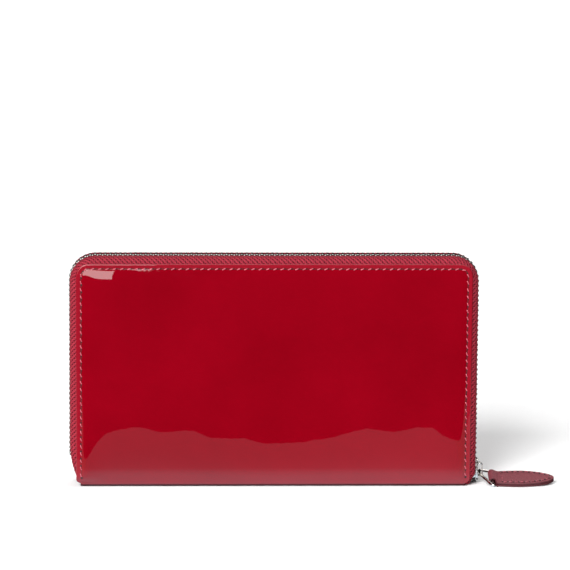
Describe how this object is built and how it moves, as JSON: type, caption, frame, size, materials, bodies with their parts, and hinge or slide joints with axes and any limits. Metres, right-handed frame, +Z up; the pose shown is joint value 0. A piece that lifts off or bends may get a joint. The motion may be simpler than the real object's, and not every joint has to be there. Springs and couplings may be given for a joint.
{
  "type": "zip around wallet",
  "caption": "Long zip around wallet in patent leather, shut and standing on its spine, with card tiers, a zipped coin pocket and a leather pull tab on a ring.",
  "frame": {"origin": "middle of the spine's underside, where the shut wallet stands", "axes": "+X along the spine to the end where the zip shuts, +Y from the front face to the rear face, +Z up from the spine to the long zip"},
  "size_m": [0.2323, 0.0228, 0.1117],
  "materials": {
    "patent_leather": "high gloss lacquer over fine smooth leather",
    "lining_leather": "satin fine grain",
    "board": "pressed grey board, matt",
    "pocket_cloth": "fine woven lining cloth",
    "zip_cloth": "woven herringbone tape",
    "zip_metal": "polished nickel",
    "pull_leather": "dull grained leather with painted edges"
  },
  "bodies": {
    "coin_pocket": {"spine_leather": "patent_leather", "spine_lining": "lining_leather", "coin_pocket_front_wall": "pocket_cloth", "coin_pocket_rear_wall": "pocket_cloth", "coin_pocket_facing": "lining_leather", "coin_pocket_binding": "lining_leather", "coin_zip_lower_tape": "zip_cloth", "coin_zip_upper_tape": "zip_cloth", "coin_zip_chain": "zip_metal", "coin_zip_bottom_stop": "zip_metal", "front_left_gusset": "pocket_cloth", "front_right_gusset": "pocket_cloth", "rear_left_gusset": "pocket_cloth", "rear_right_gusset": "pocket_cloth"},
    "front_half": {"front_cover": "patent_leather", "front_board": "board", "front_lining": "lining_leather", "front_card_tier_1": "lining_leather", "front_card_tier_2": "lining_leather", "front_card_tier_3": "lining_leather", "front_zip_tape": "zip_cloth", "front_zip_chain": "zip_metal", "front_top_stop": "zip_metal"},
    "rear_half": {"rear_cover": "patent_leather", "rear_board": "board", "rear_lining": "lining_leather", "rear_card_tier_1": "lining_leather", "rear_card_tier_2": "lining_leather", "rear_card_tier_3": "lining_leather", "rear_zip_tape": "zip_cloth", "rear_zip_chain": "zip_metal", "rear_top_stop": "zip_metal", "bottom_stop": "zip_metal"},
    "zip_slider": {"zip_slider": "zip_metal"},
    "pull_ring": {"pull_ring": "zip_metal"},
    "pull_tab": {"pull_tab": "pull_leather"},
    "coin_slider": {"coin_slider": "zip_metal"},
    "coin_pull": {"coin_pull": "zip_metal"}
  },
  "joints": [
    {"name": "front_cover_open", "type": "hinge", "parent": "coin_pocket", "child": "front_half", "pos_m": [0, -0.0079, 0.0016], "axis": [1, 0, 0], "range_deg": [0, 30], "deforming": ["front_left_gusset", "front_right_gusset"]},
    {"name": "rear_cover_open", "type": "hinge", "parent": "coin_pocket", "child": "rear_half", "pos_m": [0, 0.0079, 0.0016], "axis": [1, 0, 0], "range_deg": [-30, 0], "deforming": ["rear_left_gusset", "rear_right_gusset"]},
    {"name": "slider_travel", "type": "slide", "parent": "rear_half", "child": "zip_slider", "axis": [0, 0, 1], "range_m": [0, 0.08], "deforming": ["front_zip_chain", "rear_zip_chain"]},
    {"name": "ring_swing", "type": "hinge", "parent": "zip_slider", "child": "pull_ring", "pos_m": [0.09935, 0, 0.00483], "axis": [0, -0.9744, -0.225], "range_deg": [-50, 60]},
    {"name": "tab_swing", "type": "hinge", "parent": "pull_ring", "child": "pull_tab", "pos_m": [0.10526, 0.00023, 0.00382], "axis": [0, -0.9744, -0.225], "range_deg": [-30, 45]},
    {"name": "coin_slider_travel", "type": "slide", "parent": "coin_pocket", "child": "coin_slider", "axis": [-1, 0, 0], "range_m": [0, 0.13], "deforming": ["coin_zip_chain"]},
    {"name": "coin_pull_swing", "type": "hinge", "parent": "coin_slider", "child": "coin_pull", "pos_m": [0.0677, -0.00345, 0.076], "axis": [0, 0, 1], "range_deg": [0, 8]}
  ],
  "couplings": [
    {"joint": "rear_cover_open", "follows": "front_cover_open", "ratio": -1}
  ]
}
